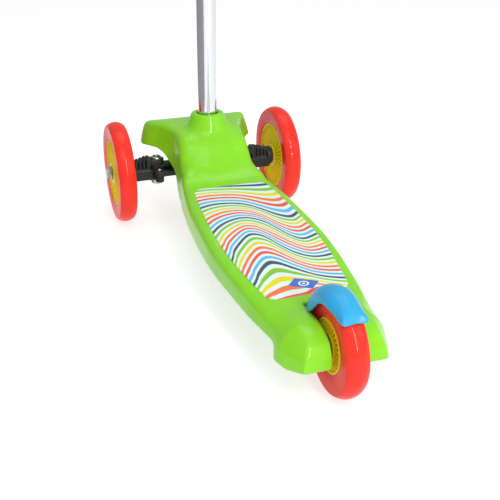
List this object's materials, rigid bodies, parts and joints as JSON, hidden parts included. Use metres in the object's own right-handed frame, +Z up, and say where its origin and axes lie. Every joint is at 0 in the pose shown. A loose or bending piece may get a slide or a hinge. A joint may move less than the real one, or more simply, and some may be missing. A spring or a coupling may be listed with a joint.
{
  "type": "kick scooter",
  "caption": "Child's kick scooter that steers by leaning: standing deck with a grip sheet, steering front axle, rear wheel with a foot brake, and a height-adjustable T-shaped handlebar.",
  "frame": {"origin": "on the ground, at the middle of the box around the whole scooter", "axes": "+Y forward, +X to the rider's right, +Z up"},
  "size_m": [0.28, 0.5254, 0.6381],
  "materials": {
    "green": "moulded satin gloss",
    "blue": "moulded satin gloss",
    "soft_blue": "soft matt",
    "tyre_red": "translucent glossy cast",
    "core_yellow": "moulded satin",
    "black_nylon": "fine moulded texture",
    "dark_rubber": "matt",
    "chrome_tube": "polished",
    "zinc_steel": "zinc plated",
    "print_sheet": "fine grip texture"
  },
  "bodies": {
    "deck": {"deck_shell": "green", "grip_sheet": "print_sheet", "column_bush": "black_nylon", "column_tube": "chrome_tube", "lock_spring": "zinc_steel", "clamp_ring": "black_nylon", "clamp_bolt": "zinc_steel", "clamp_nut": "zinc_steel", "cam_pin": "zinc_steel", "lean_bolt": "zinc_steel", "lean_nut": "zinc_steel", "steer_pin": "zinc_steel", "rear_axle_bolt": "zinc_steel", "rear_axle_nut": "zinc_steel", "rear_washers": "zinc_steel", "brake_pin": "zinc_steel", "brake_spring": "zinc_steel"},
    "button": {"lock_button": "zinc_steel"},
    "lever": {"clamp_lever": "black_nylon"},
    "bar": {"upper_tube": "chrome_tube", "handlebar": "chrome_tube", "left_grip": "soft_blue", "right_grip": "soft_blue", "bar_plugs": "black_nylon"},
    "axle": {"axle_beam": "black_nylon", "left_rubber": "dark_rubber", "right_rubber": "dark_rubber", "left_kingpin": "zinc_steel", "right_kingpin": "zinc_steel", "left_king_nut": "zinc_steel", "right_king_nut": "zinc_steel"},
    "tie": {"tie_rod": "black_nylon"},
    "left_hub": {"left_knuckle": "black_nylon", "left_tie_pin": "zinc_steel", "left_axle_bolt": "zinc_steel", "left_washers": "zinc_steel"},
    "right_hub": {"right_knuckle": "black_nylon", "right_tie_pin": "zinc_steel", "right_axle_bolt": "zinc_steel", "right_washers": "zinc_steel"},
    "left_wheel": {"left_tyre": "tyre_red", "left_core": "core_yellow", "left_bearings": "zinc_steel", "left_spacer": "zinc_steel"},
    "right_wheel": {"right_tyre": "tyre_red", "right_core": "core_yellow", "right_bearings": "zinc_steel", "right_spacer": "zinc_steel"},
    "rear_wheel": {"rear_tyre": "tyre_red", "rear_core": "core_yellow", "rear_bearings": "zinc_steel", "rear_spacer": "zinc_steel"},
    "brake": {"brake_fender": "blue"}
  },
  "joints": [
    {"name": "lean", "type": "hinge", "parent": "deck", "child": "axle", "pos_m": [0, 0.20275, 0.08], "axis": [0, 1, 0], "range_deg": [-8, 8], "stiffness_Nm_per_rad": 25, "deforming": ["left_rubber", "right_rubber"]},
    {"name": "left_steer", "type": "hinge", "parent": "axle", "child": "left_hub", "pos_m": [-0.056, 0.20275, 0.06], "axis": [0, 0, 1], "range_deg": [-11.5, 11.5]},
    {"name": "right_steer", "type": "hinge", "parent": "axle", "child": "right_hub", "pos_m": [0.056, 0.20275, 0.06], "axis": [0, 0, 1], "range_deg": [-11.5, 11.5]},
    {"name": "tie_slide", "type": "slide", "parent": "axle", "child": "tie", "axis": [1, 0, 0], "range_m": [-0.0032, 0.0032]},
    {"name": "left_wheel_spin", "type": "hinge", "parent": "left_hub", "child": "left_wheel", "pos_m": [-0.10135, 0.20275, 0.06], "axis": [1, 0, 0], "continuous": true},
    {"name": "right_wheel_spin", "type": "hinge", "parent": "right_hub", "child": "right_wheel", "pos_m": [0.10135, 0.20275, 0.06], "axis": [1, 0, 0], "continuous": true},
    {"name": "rear_wheel_spin", "type": "hinge", "parent": "deck", "child": "rear_wheel", "pos_m": [0, -0.21725, 0.0455], "axis": [1, 0, 0], "continuous": true},
    {"name": "brake_press", "type": "hinge", "parent": "deck", "child": "brake", "pos_m": [0, -0.16625, 0.055], "axis": [1, 0, 0], "range_deg": [0, 2.4], "stiffness_Nm_per_rad": 2, "springref_deg": -5.73},
    {"name": "button_press", "type": "slide", "parent": "deck", "child": "button", "axis": [0, -0.999, -0.0454], "range_m": [0, 0.0062], "stiffness_N_per_m": 900, "springref_m": -0.003, "deforming": ["lock_spring"]},
    {"name": "bar_height", "type": "slide", "parent": "deck", "child": "bar", "axis": [0, -0.0454, 0.999], "range_m": [-0.06, 0.06]},
    {"name": "lever_open", "type": "hinge", "parent": "deck", "child": "lever", "pos_m": [-0.013, 0.1387, 0.32895], "axis": [0, -0.0454, 0.999], "range_deg": [0, 110]}
  ],
  "couplings": [
    {"joint": "left_steer", "follows": "lean", "ratio": 1.375},
    {"joint": "right_steer", "follows": "lean", "ratio": 1.375},
    {"joint": "tie_slide", "follows": "lean", "m_per_rad": 0.022}
  ]
}
